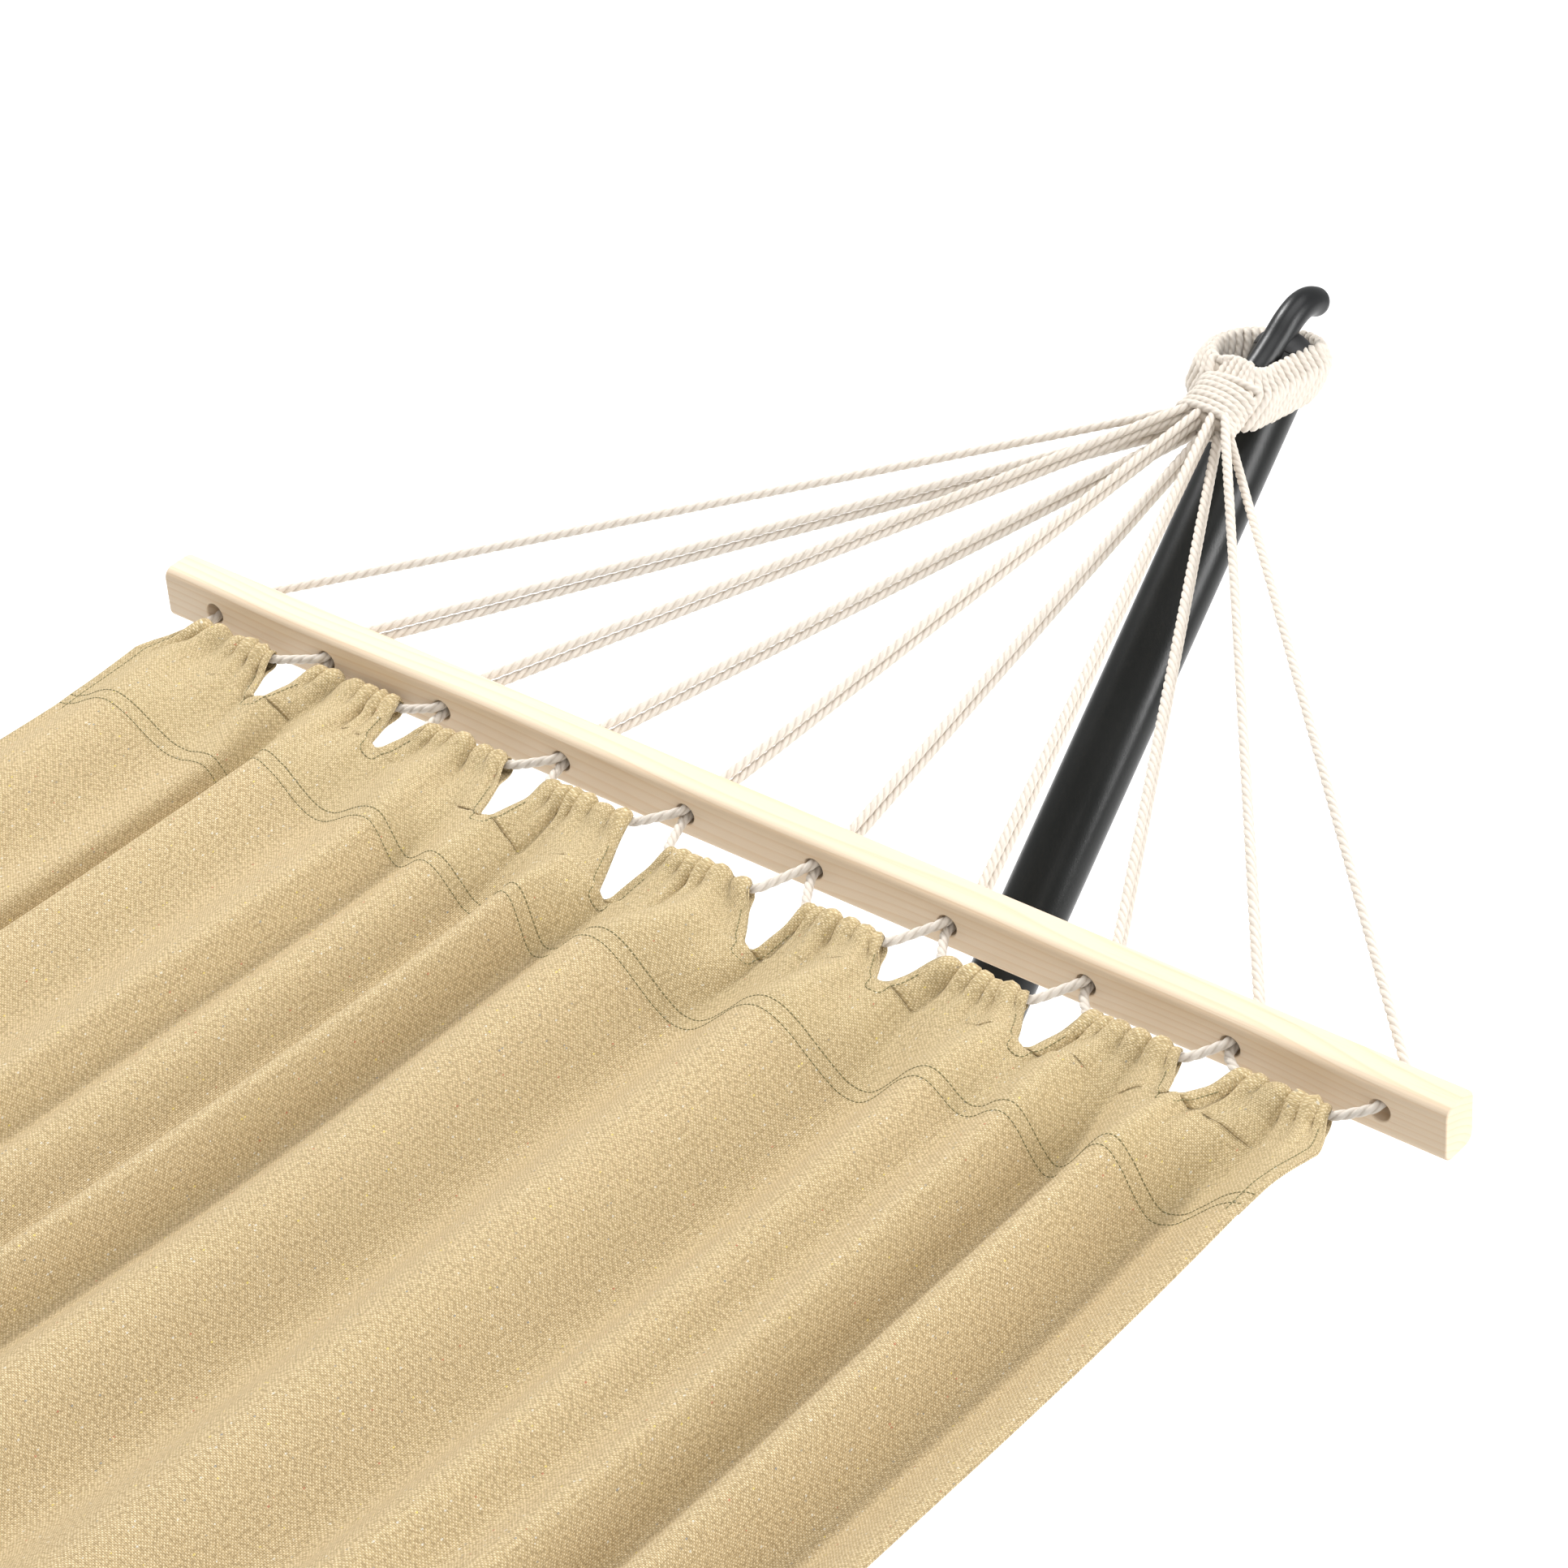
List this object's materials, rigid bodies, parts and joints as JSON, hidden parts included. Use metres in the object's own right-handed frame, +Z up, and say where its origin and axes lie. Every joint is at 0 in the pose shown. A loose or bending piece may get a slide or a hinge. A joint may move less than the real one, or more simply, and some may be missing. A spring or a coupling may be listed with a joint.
{
  "type": "hammock on stand",
  "caption": "Cotton canvas hammock with wooden spreader bars, rope fans and wrapped eye loops, hung on the rod hooks of a bent steel tube stand on two cross feet.",
  "frame": {"origin": "on the ground under the middle of the stand", "axes": "+Z up, Y along the hammock from hook to hook, X across it along the spreader bars; end a lies towards +Y"},
  "size_m": [1.096, 3.127, 1.112],
  "materials": {
    "black_steel": "black powder coat, satin",
    "hook_enamel": "black gloss coat",
    "black_plastic": "moulded, satin",
    "zinc_steel": "zinc plated",
    "pine": "sanded, unvarnished",
    "cotton_rope": "undyed three-strand cotton",
    "canvas": "coarse khaki canvas"
  },
  "bodies": {
    "stand": {"elbow_a": "black_steel", "arm_tube_a": "black_steel", "hook_tube_a": "black_steel", "hook_plug_a": "black_plastic", "hook_rod_a": "hook_enamel", "foot_tube_a": "black_steel", "foot_cap_left_a": "black_plastic", "foot_cap_right_a": "black_plastic", "saddle_a": "black_plastic", "foot_bolt_a": "zinc_steel", "foot_nut_a": "zinc_steel", "base_bolt_a": "zinc_steel", "base_nut_a": "zinc_steel", "arm_bolt_a": "zinc_steel", "arm_nut_a": "zinc_steel", "hook_screw_a": "zinc_steel", "eye_loop_a": "cotton_rope", "elbow_b": "black_steel", "arm_tube_b": "black_steel", "hook_tube_b": "black_steel", "hook_plug_b": "black_plastic", "hook_rod_b": "hook_enamel", "foot_tube_b": "black_steel", "foot_cap_left_b": "black_plastic", "foot_cap_right_b": "black_plastic", "saddle_b": "black_plastic", "foot_bolt_b": "zinc_steel", "foot_nut_b": "zinc_steel", "base_bolt_b": "zinc_steel", "base_nut_b": "zinc_steel", "arm_bolt_b": "zinc_steel", "arm_nut_b": "zinc_steel", "hook_screw_b": "zinc_steel", "eye_loop_b": "cotton_rope", "base_tube": "black_steel"},
    "hammock": {"spreader_bar_a": "pine", "rope_1_a": "cotton_rope", "rope_2_a": "cotton_rope", "rope_3_a": "cotton_rope", "rope_4_a": "cotton_rope", "rope_5_a": "cotton_rope", "rope_6_a": "cotton_rope", "rope_7_a": "cotton_rope", "rope_8_a": "cotton_rope", "rope_9_a": "cotton_rope", "spreader_bar_b": "pine", "rope_1_b": "cotton_rope", "rope_2_b": "cotton_rope", "rope_3_b": "cotton_rope", "rope_4_b": "cotton_rope", "rope_5_b": "cotton_rope", "rope_6_b": "cotton_rope", "rope_7_b": "cotton_rope", "rope_8_b": "cotton_rope", "rope_9_b": "cotton_rope", "bed_cloth": "canvas"}
  },
  "joints": [
    {"name": "hammock_swing", "type": "hinge", "parent": "stand", "child": "hammock", "pos_m": [0, 0, 1.056], "axis": [0, 1, 0], "range_deg": [-25, 25]}
  ]
}
